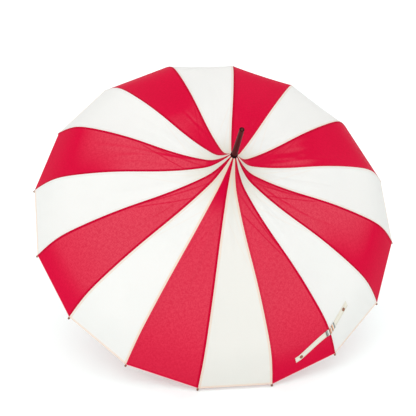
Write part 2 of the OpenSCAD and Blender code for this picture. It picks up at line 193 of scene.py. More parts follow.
def read_seam_curve():
    """The seam line read from the edge of one CAD panel, midway through its thickness."""
    co = node_points("panel_16")
    edge = co[co[:, 1] > 0.9 * co[:, 0] * math.tan(HALF_PITCH)]
    r = edge[:, 0] / math.cos(HALF_PITCH)
    pairs = np.stack([r, edge[:, 2]], axis=1)[np.argsort(r)]
    return SeamCurve((pairs[0::2] + pairs[1::2]) / 2)


seam = read_seam_curve()
RIM_R = float(seam.points[-1, 0])
RIM_Z = float(seam.points[-1, 1])
PEAK_R = float(seam.points[0, 0])
# Tight cloth stands out between the seams where the profile is hollow, up to this distance from
# the axis, and sags in beyond it
HOLLOW_END_R = 225 * MM
NECK_RISE = 1.5 * MM
BRIM_SAG = 5 * MM
PEAK_END_S = float(seam.s_at_radius(PEAK_END_R))


def sag(r):
    """How far the middle of a panel stands out from the straight line between its seams."""
    neck = NECK_RISE * np.sin(np.pi * (r - PEAK_R) / (HOLLOW_END_R - PEAK_R))
    past = np.clip((r - HOLLOW_END_R) / (RIM_R - HOLLOW_END_R), 0, 1)
    brim = -BRIM_SAG * np.sin(np.pi * past)
    return np.where(r < HOLLOW_END_R, neck, brim)


def smooth_step(x):
    x = np.clip(x, 0, 1)
    return x * x * (3 - 2 * x)


def panel_creases(k):
    """A few long, soft creases per panel: (start s, start q, end s, end q, width, height)."""
    rng = np.random.default_rng(100 + k)
    creases = []
    for _ in range(4):
        start_s = rng.uniform(0.05, 0.16)
        end_s = rng.uniform(0.24, 0.42)
        start_q = rng.uniform(-0.95, 0.95)
        end_q = np.clip(start_q * 0.3 + rng.uniform(-0.5, 0.5), -0.8, 0.8)
        width = rng.uniform(4, 9) * MM
        height = rng.uniform(0.6, 1.5) * MM * rng.choice([-1, 1])
        creases.append((start_s, start_q, end_s, end_q, width, height))
    return creases


def crease_lift(k, s, q, half):
    """Height of the creases of panel k at seam distance s and width share q."""
    lift = np.zeros_like(s * q)
    for start_s, start_q, end_s, end_q, width, height in panel_creases(k):
        t = (s - start_s) / (end_s - start_s)
        line_q = start_q + (end_q - start_q) * t
        off = (q - line_q) * half
        along = smooth_step(t / 0.25) * smooth_step((1 - t) / 0.35)
        lift = lift + height * along * np.exp(-((off / width) ** 2))
    return lift


def panel_surface(k, s, q):
    """Mid-surface of panel k. q runs from -1 at the seam of rib k to 1 at that of rib k + 1."""
    rz, n = seam.at(s), seam.normal(s)
    r, z = rz[..., 0], rz[..., 1]
    half = r * math.sin(HALF_PITCH)
    slack = 1 - q**2
    lift = sag(r) * slack + crease_lift(k, s, q, half) * np.sqrt(np.clip(slack, 0, 1))
    x = r * math.cos(HALF_PITCH) + n[..., 0] * lift
    point = np.stack([x, q * half, z + n[..., 1] * lift], axis=-1)
    return turned(point, panel_azimuth(k))


def panel_normals(k, s, q):
    e_s, e_q = 0.4 * MM, 1e-3
    along = panel_surface(k, s + e_s, q) - panel_surface(k, s - e_s, q)
    across = panel_surface(k, s, q + e_q) - panel_surface(k, s, q - e_q)
    n = np.cross(along, across)
    return n / np.linalg.norm(n, axis=-1, keepdims=True)


# --- mesh helpers ----------------------------------------------------------------------------


def mesh_object(name, vertices, faces, smooth_angle, material):
    """A smooth-shaded mesh in the scene, with edges sharper than smooth_angle (degrees) kept."""
    mesh = bpy.data.meshes.new(name)
    mesh.from_pydata([tuple(v) for v in vertices], [], faces)
    mesh.validate()
    mesh.polygons.foreach_set("use_smooth", [True] * len(mesh.polygons))
    mesh.set_sharp_from_angle(angle=math.radians(smooth_angle))
    obj = bpy.data.objects.new(name, mesh)
    bpy.context.scene.collection.objects.link(obj)
    mesh.materials.append(material)
    return obj


def add_attributes(mesh, **values):
    """Named numbers for the materials: one per vertex each, or one for the whole mesh."""
    for name, value in values.items():
        attribute = mesh.attributes.new(name, "FLOAT", "POINT")
        per_vertex = np.broadcast_to(np.ravel(value), len(mesh.vertices))
        attribute.data.foreach_set("value", per_vertex.astype(np.float32))


def uv_from_points(mesh, name, uv):
    """A UV map, in metres, from one (u, v) per vertex."""
    layer = mesh.uv_layers.new(name=name)
    index = np.empty(len(mesh.loops), np.int32)
    mesh.loops.foreach_get("vertex_index", index)
    layer.data.foreach_set("uv", np.asarray(uv, np.float32)[index].ravel())


def both_faces(*grids):
    """Values on a grid, once for each face of a closed sheet: one row per vertex."""
    return np.tile(np.stack(grids, -1).reshape(-1, len(grids)), (2, 1))


def closed_sheet(outer, inner):
    """Vertices and faces of a closed sheet between two grids of rows and columns."""
    rows, cols = outer.shape[:2]
    count = rows * cols
    vertices = np.concatenate([outer.reshape(-1, 3), inner.reshape(-1, 3)])
    faces = []
    for i in range(rows - 1):
        for j in range(cols - 1):
            a, b = i * cols + j, (i + 1) * cols + j
            faces.append((a, b, b + 1, a + 1))
            faces.append((a + count, a + 1 + count, b + 1 + count, b + count))
    rim = [(0, j) for j in range(cols)]
    rim += [(i, cols - 1) for i in range(1, rows)]
    rim += [(rows - 1, j) for j in range(cols - 2, -1, -1)]
    rim += [(i, 0) for i in range(rows - 2, 0, -1)]
    loop = [i * cols + j for i, j in rim]
    for a, b in zip(loop, loop[1:] + loop[:1]):
        faces.append((a, b, b + count, a + count))
    return vertices, faces


# --- materials -------------------------------------------------------------------------------


class Nodes:
    """Short names for building a material's node tree."""

    def __init__(self, name):
        self.material = bpy.data.materials.new(name)
        self.material.use_nodes = True
        self.tree = self.material.node_tree
        self.tree.nodes.clear()

    def add(self, kind, **inputs):
        """A new node. Each name is one of its settings or, with _ for a space, an input."""
        node = self.tree.nodes.new(kind)
        for key, value in inputs.items():
            if hasattr(node, key):
                setattr(node, key, value)
            else:
                self.put(node, key.replace("_", " "), value)
        return node

    def put(self, node, key, value):
        socket = node.inputs[key]
        if isinstance(value, bpy.types.NodeSocket):
            self.tree.links.new(value, socket)
        else:
            socket.default_value = value

    def math(self, operation, *values):
        node = self.tree.nodes.new("ShaderNodeMath")
        node.operation = operation
        for i, value in enumerate(values):
            self.put(node, i, value)
        return node.outputs[0]

    def mix(self, factor, a, b):
        """Colour a where factor is 0, and colour b where it is 1."""
        node = self.tree.nodes.new("ShaderNodeMix")
        node.data_type = "RGBA"
        self.put(node, 0, factor)
        self.put(node, 6, a)
        self.put(node, 7, b)
        return node.outputs[2]

    def ramp(self, value, low, high, to_low=0.0, to_high=1.0):
        """A smooth step from to_low, at low, to to_high, at high."""
        node = self.tree.nodes.new("ShaderNodeMapRange")
        node.interpolation_type = "SMOOTHSTEP"
        for i, item in enumerate((value, low, high, to_low, to_high)):
            self.put(node, i, item)
        return node.outputs[0]

    def attribute(self, name):
        node = self.tree.nodes.new("ShaderNodeAttribute")
        node.attribute_name = name
        return node.outputs["Fac"]

    def noise(self, vector, scale, detail, roughness):
        node = self.tree.nodes.new("ShaderNodeTexNoise")
        self.put(node, "Vector", vector)
        self.put(node, "Scale", scale)
        self.put(node, "Detail", detail)
        self.put(node, "Roughness", roughness)
        return node.outputs["Fac"]

    def bump(self, height, strength, distance, normal=None):
        node = self.tree.nodes.new("ShaderNodeBump")
        self.put(node, "Strength", strength)
        self.put(node, "Distance", distance)
        self.put(node, "Height", height)
        if normal is not None:
            self.put(node, "Normal", normal)
        return node.outputs[0]

    def blend(self, factor, a, b):
        """Shader a where factor is 0, and shader b where it is 1."""
        node = self.tree.nodes.new("ShaderNodeMixShader")
        for i, item in enumerate((factor, a.outputs[0], b.outputs[0])):
            self.put(node, i, item)
        return node.outputs[0]

    def done(self, shader):
        out = self.tree.nodes.new("ShaderNodeOutputMaterial")
        self.tree.links.new(shader, out.inputs[0])
        return self.material


def weave_height(m, uv, thread):
    """Plain weave from two crossing threads, as a height around 0.5. uv is in metres."""
    split = m.add("ShaderNodeSeparateXYZ", Vector=uv)
    turns = math.pi / thread
    warp = m.math("SINE", m.math("MULTIPLY", split.outputs[0], turns))
    weft = m.math("SINE", m.math("MULTIPLY", split.outputs[1], turns))
    over = m.math("MULTIPLY", warp, weft)
    return m.math("MULTIPLY_ADD", over, 0.5)


# Most of the slubs' noise lies between these
SLUB_RANGE = (0.38, 0.62)


def thread_slubs(m, uv):
    """Uneven threads: streaks along both thread directions, around 0.5."""
    streaks = []
    for scale in ((110.0, 420.0, 1.0), (420.0, 110.0, 1.0)):
        stretch = m.add("ShaderNodeMapping", Vector=uv, Scale=scale)
        streaks.append(m.noise(stretch.outputs[0], scale=1.0, detail=2.0, roughness=0.6))
    return m.math("MULTIPLY", m.math("ADD", *streaks), 0.5)


def stitch_row(m, along, off, place):
    """A row of machine stitches at off = place: dashes along the row, 1 on the thread."""
    from_row = m.math("ABSOLUTE", m.math("SUBTRACT", off, place))
    near = m.ramp(from_row, 0.2 * MM, 0.4 * MM, 1.0, 0.0)
    wave = m.math("SINE", m.math("MULTIPLY", along, 2 * math.pi / STITCH_PITCH))
    return m.math("MULTIPLY", near, m.ramp(wave, -0.7, -0.3))


def fan_shade_lines(m, at):
    """Two faint lines of painted shade per panel, where the frame behind the cloth blocks light
    through it: they leave one seam and run up to the neck.
    """
    s = at["along"]
    lines = 0.0
    for start, gap, slope, width in FAN_LINES:
        place = m.math("MULTIPLY_ADD", m.math("SUBTRACT", start, s), slope, gap)
        off = m.math("ABSOLUTE", m.math("SUBTRACT", at["from_fan_seam"], place))
        line = m.ramp(off, 0.0, width, 1.0, 0.0)
        line = m.math("MULTIPLY", line, m.ramp(s, start, start - 30 * MM))
        line = m.math("MULTIPLY", line, m.ramp(s, 80 * MM, 150 * MM, 0.5, 1.0))
        lines = m.math("MAXIMUM", lines, line)
    return m.math("MULTIPLY", lines, m.attribute("fan_share"))


def cloth_places(m):
    """Node outputs that say where on the cloth a point is."""
    uv = m.add("ShaderNodeUVMap", uv_map="cloth").outputs[0]
    fan_uv = m.add("ShaderNodeUVMap", uv_map="fan").outputs[0]
    fan = m.add("ShaderNodeSeparateXYZ", Vector=fan_uv)
    return {
        "uv": uv,
        "across": m.add("ShaderNodeSeparateXYZ", Vector=uv).outputs[1],
        "along": fan.outputs[0],
        "from_fan_seam": fan.outputs[1],
        "object": m.add("ShaderNodeTexCoord").outputs["Object"],
        "seam_off": m.attribute("seam_off"),
        "hem_off": m.attribute("hem_off"),
        "shaded": m.attribute("shaded"),
    }


def plain_tint(m, at, look, slub, lines):
    """The cloth's colour away from its edges: uneven dye and threads, painted shade deeper toward
    the neck, painted shade along the faint lines and painted shade where less light comes from
    behind a panel.
    """
    blotch = m.noise(at["object"], scale=9.0, detail=3.0, roughness=0.55)
    tint = m.mix(m.ramp(blotch, 0.35, 0.7, 0.0, 0.35), look["colour"], look["shade"])
    tint = m.mix(m.ramp(slub, *SLUB_RANGE, look["mottle"], 0.0), tint, look["fell"])
    # Painted shade toward the neck: deeper red, and on white cloth darker and cream, with painted
    # light bounced off the red panels
    neck = m.ramp(at["along"], 50 * MM, 180 * MM, look["neck_shade_share"], 0.0)
    tint = m.mix(neck, tint, look["neck"])
    # Painted shade along the faint lines
    tint = m.mix(m.math("MULTIPLY", lines, look["line_shade_share"]), tint, look["fell"])
    # Painted shade where less light comes from behind the panel
    return m.mix(m.math("MULTIPLY", at["shaded"], 0.6), tint, look["neck"])


def sewn_edges(m, at, look, tint):
    """The folded cloth along seam and hem: (colour, 1 where the cloth is doubled)."""
    fell = m.ramp(at["seam_off"], 0.8 * FELL_W, FELL_W, 1.0, 0.0)
    fell = m.math("MULTIPLY", fell, m.attribute("fell_strength"))
    tint = m.mix(m.math("MULTIPLY", fell, look["fell_share"]), tint, look["fell"])
    hem = m.ramp(at["hem_off"], 0.92 * HEM_W, HEM_W, 1.0, 0.0)
    tint = m.mix(m.math("MULTIPLY", hem, look["hem_share"]), tint, look["fell"])
    edge = m.ramp(at["hem_off"], 1.0 * MM, 1.8 * MM, 1.0, 0.0)
    tint = m.mix(edge, tint, look["edge"])
    return tint, m.math("MINIMUM", m.math("MAXIMUM", fell, hem), 1.0)


def weave_veil(m, at, look, slub, backed):
    """Pale light through the gaps of the weave: strongest face on, none where cloth is backed."""
    facing = m.add("ShaderNodeLayerWeight", Blend=0.5).outputs["Facing"]
    veil = m.math("SUBTRACT", 1.0, backed)
    for share in (
        m.ramp(facing, 0.2, 0.38, 1.0, 0.0),
        m.ramp(at["hem_off"], 20 * MM, 220 * MM, 0.45, 1.0),
        m.ramp(at["along"], 60 * MM, 150 * MM, 0.55, 1.0),
        m.ramp(slub, *SLUB_RANGE, 0.7, 1.3),
        look["veil"],
        m.math("SUBTRACT", 1.0, at["shaded"]),
    ):
        veil = m.math("MULTIPLY", veil, share)
    return veil


def cloth_relief(m, at, lines, thread):
    """The normal of the woven, stitched and slightly crumpled surface."""
    height = m.math("MULTIPLY", weave_height(m, at["uv"], THREAD_W), 0.35)
    height = m.math("ADD", height, thread)
    height = m.math("SUBTRACT", height, m.math("MULTIPLY", lines, 0.8))
    normal = m.bump(height, strength=0.35, distance=0.15 * MM)
    crumple = m.noise(at["object"], scale=60.0, detail=3.0, roughness=0.6)
    return m.bump(crumple, strength=0.25, distance=0.5 * MM, normal=normal)


def cloth_material(name, look):
    """Canopy cloth: fine weave, seam fell and hem with their stitches, faint painted shade lines
    and painted shade at the neck, painted light through the weave.
    """
    m = Nodes(name)
    at = cloth_places(m)
    slub = thread_slubs(m, at["uv"])
    lines = fan_shade_lines(m, at)
    tint, doubled = sewn_edges(m, at, look, plain_tint(m, at, look, slub, lines))
    backed = m.math("MAXIMUM", doubled, m.math("MULTIPLY", lines, 0.8))
    tint = m.mix(weave_veil(m, at, look, slub, backed), tint, (1.0, 1.0, 1.0, 1.0))
    seam_thread = stitch_row(m, at["along"], at["seam_off"], 0.72 * FELL_W)
    hem_thread = stitch_row(m, at["across"], at["hem_off"], 0.8 * HEM_W)
    thread = m.math("MAXIMUM", seam_thread, hem_thread)
    tint = m.mix(m.math("MULTIPLY", thread, 0.7), tint, look["thread"])
    normal = cloth_relief(m, at, lines, thread)
    body = m.add(
        "ShaderNodeBsdfPrincipled",
        Base_Color=tint,
        Roughness=0.6,
        Specular_IOR_Level=look["gloss"],
        Sheen_Weight=look["sheen"],
        Sheen_Roughness=0.35,
        Normal=normal,
    )
    glow = m.add("ShaderNodeBsdfTranslucent", Color=tint, Normal=normal)
    return m.done(m.blend(look["see_through"], body, glow))


def striped_tab_material(name, stripes):
    """Narrow woven band with stripes across it, each given as (start share, colour)."""
    m = Nodes(name)
    uv = m.add("ShaderNodeUVMap", uv_map="cloth").outputs[0]
    along = m.add("ShaderNodeSeparateXYZ", Vector=uv).outputs[0]
    share = m.math("SUBTRACT", along, TAB_MIDDLE - TAB_HALF)
    bands = m.add("ShaderNodeValToRGB", Fac=m.math("DIVIDE", share, 2 * TAB_HALF))
    bands.color_ramp.interpolation = "CONSTANT"
    for place, colour in stripes[2:]:
        bands.color_ramp.elements.new(place)
    for element, (place, colour) in zip(bands.color_ramp.elements, stripes):
        element.position = place
        element.color = colour
    weave = weave_height(m, uv, 0.5 * MM)
    tint = m.mix(m.math("MULTIPLY", weave, 0.25), bands.outputs[0], srgb(230, 224, 212))
    shader = m.add(
        "ShaderNodeBsdfPrincipled",
        Base_Color=tint,
        Roughness=0.7,
        Specular_IOR_Level=0.2,
        Sheen_Weight=0.1,
        Normal=m.bump(weave, strength=0.4, distance=0.2 * MM),
    )
    return m.done(shader.outputs[0])


def metal_material(name, colour, wear_colour, roughness):
    """Metal with a fine grain and slightly dulled patches."""
    m = Nodes(name)
    place = m.add("ShaderNodeTexCoord").outputs["Object"]
    dull = m.noise(place, scale=45.0, detail=4.0, roughness=0.6)
    fine = m.noise(place, scale=500.0, detail=2.0, roughness=0.5)
    tint = m.mix(m.ramp(dull, 0.45, 0.75, 0.0, 0.6), colour, wear_colour)
    rough = m.ramp(dull, 0.3, 0.8, roughness, roughness + 0.1)
    shader = m.add(
        "ShaderNodeBsdfPrincipled",
        Base_Color=tint,
        Metallic=1.0,
        Roughness=rough,
        Normal=m.bump(fine, strength=0.12, distance=0.05 * MM),
    )
    return m.done(shader.outputs[0])


def lacquer_material(name, dark, light, grain_scale, roughness, coat=0.0, shine=0.5):
    """Stained wood or lacquered tube: grain drawn out along Z under a clear coat."""
    m = Nodes(name)
    place = m.add("ShaderNodeTexCoord").outputs["Object"]
    stretch = m.add("ShaderNodeMapping", Vector=place, Scale=(1.0, 1.0, 0.06))
    grain = m.noise(stretch.outputs[0], scale=grain_scale, detail=6.0, roughness=0.65)
    pores = m.noise(stretch.outputs[0], scale=grain_scale * 5, detail=3.0, roughness=0.6)
    tint = m.mix(m.ramp(grain, 0.35, 0.68), dark, light)
    tint = m.mix(m.ramp(pores, 0.62, 0.75, 0.0, 0.5), tint, dark)
    shader = m.add(
        "ShaderNodeBsdfPrincipled",
        Base_Color=tint,
        Roughness=roughness,
        Specular_IOR_Level=shine,
        Coat_Weight=coat,
        Coat_Roughness=0.12,
        Normal=m.bump(pores, strength=0.1, distance=0.08 * MM),
    )
    return m.done(shader.outputs[0])


def srgb(r, g, b):
    """A colour given as it looks, from 0 to 255, in the linear values nodes use."""
    def linear(c):
        c /= 255
        return c / 12.92 if c <= 0.04045 else ((c + 0.055) / 1.055) ** 2.4

    return (linear(r), linear(g), linear(b), 1.0)


RED = cloth_material(
    "red_cloth",
    {
        "colour": srgb(203, 8, 55),
        "shade": srgb(194, 1, 49),
        "fell": srgb(178, 0, 42),
        # Colour of the painted shade at the neck and on shaded panels
        "neck": srgb(186, 0, 48),
        "edge": srgb(232, 150, 156),
        "thread": srgb(184, 4, 48),
        "mottle": 0.4,
        "neck_shade_share": 0.4,
        "line_shade_share": 0.35,
        "fell_share": 0.95,
        "hem_share": 0.3,
        "sheen": 0.004,
        "gloss": 0.03,
        "veil": 0.037,
        "see_through": 0.05,
    },
)
WHITE = cloth_material(
    "white_cloth",
    {
        "colour": srgb(234, 234, 232),
        "shade": srgb(230, 231, 229),
        "fell": srgb(236, 208, 184),
        # Colour of the painted shade at the neck and on shaded panels, cream with painted light
        # bounced off the red cloth
        "neck": srgb(217, 212, 198),
        "edge": srgb(240, 214, 196),
        "thread": srgb(238, 205, 178),
        "mottle": 0.04,
        "neck_shade_share": 0.75,
        "line_shade_share": 0.12,
        "fell_share": 0.15,
        "hem_share": 0.35,
        "sheen": 0.05,
        "gloss": 0.2,
        "veil": 0.0,
        "see_through": 0.3,
    },
)
STRAP = cloth_material(
    "strap_cloth",
    {
        "colour": srgb(224, 220, 208),
        "shade": srgb(216, 211, 198),
        "fell": srgb(200, 190, 172),
        "neck": srgb(224, 220, 208),
        "edge": srgb(224, 220, 208),
        "thread": srgb(190, 184, 168),
        "mottle": 0.3,
        "neck_shade_share": 0.0,
        "line_shade_share": 0.0,
        "fell_share": 0.25,
        "hem_share": 0.0,
        "sheen": 0.1,
        "gloss": 0.2,
        "veil": 0.0,
        "see_through": 0.1,
    },
)
TAB = striped_tab_material(
    "tab_cloth",
    [
        (0.0, srgb(74, 50, 40)),
        (0.1, srgb(110, 128, 132)),
        (0.22, srgb(222, 216, 202)),
        (0.3, srgb(74, 50, 40)),
        (0.38, srgb(186, 112, 76)),
        (0.5, srgb(222, 216, 202)),
        (0.58, srgb(96, 64, 50)),
        (0.68, srgb(206, 140, 100)),
        (0.78, srgb(222, 216, 202)),
        (0.86, srgb(80, 88, 94)),
    ],
)
STEEL = metal_material("rib_steel", srgb(150, 150, 152), srgb(110, 108, 106), roughness=0.32)
SHAFT_STEEL = metal_material(
    "shaft_steel", srgb(165, 165, 168), srgb(120, 120, 122), roughness=0.3
)
COPPER = metal_material("tip_copper", srgb(150, 104, 84), srgb(96, 60, 48), roughness=0.35)
BRASS = metal_material("collar_brass", srgb(168, 128, 84), srgb(120, 86, 52), roughness=0.3)
ENAMEL = lacquer_material(
    "runner_enamel",
    srgb(28, 26, 26),
    srgb(44, 40, 38),
    grain_scale=120.0,
    roughness=0.42,
    coat=0.2,
)
FERRULE = lacquer_material(
    "ferrule_lacquer",
    srgb(52, 5, 10),
    srgb(76, 11, 17),
    grain_scale=90.0,
    roughness=0.32,
    shine=0.1,
)
FERRULE_RING = lacquer_material(
    "ferrule_collar_lacquer",
    srgb(30, 10, 10),
    srgb(48, 18, 18),
    grain_scale=120.0,
    roughness=0.5,
    shine=0.03,
)
FERRULE_PLUG = lacquer_material(
    "ferrule_plug_lacquer",
    srgb(72, 34, 32),
    srgb(96, 50, 46),
    grain_scale=120.0,
    roughness=0.5,
    shine=0.05,
)
WOOD = lacquer_material(
    "handle_wood",
    srgb(64, 28, 18),
    srgb(116, 58, 34),
    grain_scale=60.0,
    roughness=0.38,
    coat=0.7,
)


# --- canopy ----------------------------------------------------------------------------------


def seam_columns(half):
    """Width shares from the seam to the middle: four over the seam's fell, then 13 even steps."""
    fell = (np.minimum(FELL_W, 0.3 * half) / half)[:, None]
    over_fell = fell * np.array([[0, 0.3, 0.85, 1.0]])
    rest = fell + (1 - fell) * np.linspace(0, 1, 14)[None, 1:]
    return np.concatenate([over_fell, rest], axis=1)


def back_shade(k, s):
    """How much of the light from behind panel k is missing at seam distance s."""
    shade = np.full(s.shape, BACK_SHADE.get(k, 0.0))
    if k == SHADED_NECK_PANEL:
        lit = smooth_step((s - SHADED_NECK_S) / (LIT_S - SHADED_NECK_S))
        shade = 1 - lit * (1 - shade)
    return shade


def cloth_thickness(seam_off, hem_off):
    """Half the cloth's thickness: more over the seam's fell and over the hem."""
    thick = 0.5 * CLOTH_T + 0.15 * MM * smooth_step((FELL_W - seam_off) / (0.5 * MM))
    return thick + 0.2 * MM * smooth_step((HEM_W - hem_off) / (0.8 * MM))


def half_panel(name, k, side, s):
    """One half of panel k between its seam and its middle. side -1 is on rib k, 1 on rib k + 1."""
    half = seam.at(s)[:, 0] * math.sin(HALF_PITCH)
    share = seam_columns(half)
    s_grid = np.repeat(s[:, None], share.shape[1], axis=1)
    if side > 0:
        share = share[:, ::-1]
    q = side * (1 - share)
    seam_off = share * half[:, None]
    hem_off = seam.length - s_grid
    mid = panel_surface(k, s_grid, q)
    lift = panel_normals(k, s_grid, q) * cloth_thickness(seam_off, hem_off)[..., None]
    vertices, faces = closed_sheet(mid + lift, mid - lift)
    red = k % 2 == 0
    obj = mesh_object(name, vertices, faces, 40, RED if red else WHITE)
    across = q * half[:, None]
    from_fan_seam = half[:, None] - (across if k in FAN_FROM_NEXT_RIB else -across)
    uv_from_points(obj.data, "cloth", both_faces(s_grid, across))
    uv_from_points(obj.data, "fan", both_faces(s_grid, from_fan_seam))
    add_attributes(
        obj.data,
        seam_off=both_faces(seam_off),
        hem_off=both_faces(hem_off),
        fan_share=FAN_SHARE.get(k, 1.0),
        shaded=both_faces(back_shade(k, s_grid)),
        fell_strength=FELL_STRENGTH.get((k, side), 1.0),
    )
    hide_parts(f"panel_{k:02d}")
    return obj


def squash_to_rib(obj):
    """Gives the cloth its own copy of its mesh."""
    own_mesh(obj)


def build_canopy():
    """Each half panel on its rib, and above it a peak piece, fixed in place."""
    hem_s = seam.length - np.array([6.6, 4.5, 2.5, 0.8, 0]) * MM
    even_s = np.linspace(PEAK_END_S, seam.length - HEM_W - 1 * MM, 58)
    outer_s = np.concatenate([even_s, hem_s])
    peak_s = np.linspace(0, PEAK_END_S, 18)
    bend = np.array([[r, 0, z] for r, z in seam.at([0.2 * PEAK_END_S, PEAK_END_S])])
    for k in range(1, RIBS + 1):
        for letter, side, rib in (("a", -1, k), ("b", 1, k % RIBS + 1)):
            outer = half_panel(f"panel_{k:02d}_{letter}", k, side, outer_s)
            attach(outer, f"rib_{rib:02d}")
            squash_to_rib(outer)
            peak = half_panel(f"peak_{k:02d}_{letter}", k, side, peak_s)
            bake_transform(peak)


build_canopy()


# --- closure strap ---------------------------------------------------------------------------

# Distance from the snap's middle and height over the strap, from the outer foot inward
SNAP_PROFILE = [
    (4.5 * MM, -0.4 * MM),
    (4.5 * MM, 0.5 * MM),
    (4.3 * MM, 0.9 * MM),
    (3.8 * MM, 1.2 * MM),
    (3.2 * MM, 1.25 * MM),
    (2.7 * MM, 1.0 * MM),
    (2.3 * MM, 0.75 * MM),
    (1.0 * MM, 0.85 * MM),
    (0.3 * MM, 0.9 * MM),
]


def strap_seam_radius(d):
    """The strap lies a little askew: its distance from the axis, d from the seam."""
    return np.interp(
        d,
        np.array([-104, -92, -80, -60, -35, -12, 0, 21, 57.5, 77]) * MM,
        np.array([431.5, 430.5, 428, 423.5, 417.5, 412.5, 410.5, 408.5, 403.5, 400.5]) * MM,
    )


def strap_surface(d, w, lift):
    """Point on the canopy d along the strap from the seam and w across it, lifted by lift."""
    s = seam.s_at_radius(strap_seam_radius(d)) + w
    share = np.abs(d) / (seam.at(s)[..., 0] * math.sin(HALF_PITCH))
    q = np.where(d < 0, 1 - share, share - 1)
    points = np.empty(d.shape + (3,))
    for panel, here in ((STRAP_RIB - 1, d < 0), (STRAP_RIB, d >= 0)):
        if here.any():
            p = panel_surface(panel, s[here], q[here])
            n = panel_normals(panel, s[here], q[here])
            points[here] = p + n * lift[here][:, None]
    return points


def strap_point_grid(d, w, lift):
    """A grid of strap points, rounded over the ridge of the seam."""
    reach = 3 * MM
    d_grid, w_grid = np.meshgrid(d, w, indexing="ij")
    lift_grid = lift + np.zeros_like(d_grid)
    flat_d, flat_w, flat_lift = (a.ravel() for a in (d_grid, w_grid, lift_grid))
    before = strap_surface(flat_d - reach, flat_w, flat_lift)
    here = strap_surface(flat_d, flat_w, flat_lift)
    after = strap_surface(flat_d + reach, flat_w, flat_lift)
    near = np.clip(1 - np.abs(flat_d) / reach, 0, 1)[:, None]
    rounded = here * (1 - 0.4 * near) + (before + after) / 2 * 0.4 * near
    return rounded.reshape(len(d), len(w), 3)


def strap_skin(d, w, low, high, profile):
    """A closed band over the grid of d and w, from lift low up to high, thinner by profile."""
    top = strap_point_grid(d, w, low + (high - low) * profile[None, :])
    bottom = strap_point_grid(d, w, np.full((1, len(w)), low))
    vertices, faces = closed_sheet(top[:, ::-1], bottom[:, ::-1])
    uv = np.stack(np.meshgrid(d, w[::-1], indexing="ij"), -1).reshape(-1, 2)
    return vertices, faces, np.tile(uv, (2, 1))


def ride_strap(obj):
    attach(obj, f"rib_{STRAP_RIB:02d}")
    squash_to_rib(obj)


def build_strap():
    d = np.concatenate([np.linspace(-STRAP_LONG, -MM, 60), np.linspace(MM, STRAP_SHORT, 45)])
    edge = STRAP_W / 2
    w = np.array([-1, -0.93, -0.8, -0.4, 0, 0.4, 0.8, 0.93, 1]) * edge
    profile = np.array([0.25, 0.8, 1.0, 0.86, 0.86, 0.86, 1.0, 0.8, 0.25])
    vertices, faces, uv = strap_skin(d, w, STRAP_LOW, STRAP_LOW + STRAP_T, profile)
    obj = mesh_object("closure_strap_band", vertices, faces, 60, STRAP)
    uv_from_points(obj.data, "cloth", uv)
    uv_from_points(obj.data, "fan", uv + np.array([1.0, 0]))
    add_attributes(
        obj.data,
        seam_off=edge - np.abs(uv[:, 1]) + 0.2 * FELL_W,
        hem_off=1.0,
        fan_share=0.0,
        shaded=0.0,
        fell_strength=1.0,
    )
    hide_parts("closure_strap")
    ride_strap(obj)


def build_tab():
    """The short striped band woven round the strap where it crosses the seam."""
    ends = [-TAB_HALF, -TAB_HALF + 0.4 * MM, TAB_HALF - 0.4 * MM, TAB_HALF]
    inner = np.linspace(-TAB_HALF + 1 * MM, TAB_HALF - 1 * MM, 22)
    d = np.unique(np.concatenate([ends, inner]))
    w = np.array([-1, -0.95, -0.6, 0, 0.6, 0.95, 1]) * (STRAP_W / 2 + 0.4 * MM)
    profile = np.array([0.4, 0.95, 1.0, 1.0, 1.0, 0.95, 0.4])
    low = STRAP_LOW + 0.3 * STRAP_T
    vertices, faces, uv = strap_skin(d + TAB_MIDDLE, w, low, STRAP_LOW + 1.45 * STRAP_T, profile)
    obj = mesh_object("closure_strap_tab", vertices, faces, 60, TAB)
    uv_from_points(obj.data, "cloth", uv)
    ride_strap(obj)


def build_snap(name, d):
    """A pressed snap fastener: a rolled rim round a shallow dish, on the strap at d."""
    probe = np.array([d - 1 * MM, d, d + 1 * MM, d])
    probe_w = np.array([0, 0, 0, 1 * MM])
    lift = np.full(4, STRAP_LOW + STRAP_T * 0.8)
    before, here, after, beside = strap_surface(probe, probe_w, lift)
    along = (after - before) / np.linalg.norm(after - before)
    normal = np.cross(beside - here, along)
    normal /= np.linalg.norm(normal)
    across = np.cross(normal, along)
    turn = np.linspace(0, 2 * math.pi, 28, endpoint=False)
    ring = np.cos(turn)[:, None] * along + np.sin(turn)[:, None] * across
    vertices = [here + r * v + h * normal for r, h in SNAP_PROFILE for v in ring]
    n, last = len(turn), len(SNAP_PROFILE) - 1
    faces = [
        (i * n + j, i * n + (j + 1) % n, (i + 1) * n + (j + 1) % n, (i + 1) * n + j)
        for i in range(last)
        for j in range(n)
    ]
    faces.append(tuple(last * n + j for j in range(n)))
    faces.append(tuple(reversed(range(n))))
    ride_strap(mesh_object(name, vertices, faces, 40, COPPER))


build_strap()
build_tab()
build_snap("closure_strap_snap_a", -STRAP_LONG + SNAP_INSET)
build_snap("closure_strap_snap_b", STRAP_SHORT - SNAP_INSET)


# --- finishes of the CAD parts ---------------------------------------------------------------


RING_H = 4 * MM
PLUG_R = 2.6 * MM


def paint(node, *materials):
    """Give a CAD node its materials, and return its mesh."""
    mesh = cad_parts[node].data
    mesh.materials.clear()
    for material in materials:
        mesh.materials.append(material)
    return mesh


def paint_rib(k):
    """Steel channel, copper cap past the hem."""
    azimuth = rib_azimuth(k)
    out = Vector((math.cos(azimuth), math.sin(azimuth), 0))
    for face in paint(f"rib_{k:02d}", STEEL, COPPER).polygons:
        if face.center.z < RIM_Z + 0.2 * MM and face.center.dot(out) > RIM_R - 10 * MM:
            face.material_index = 1


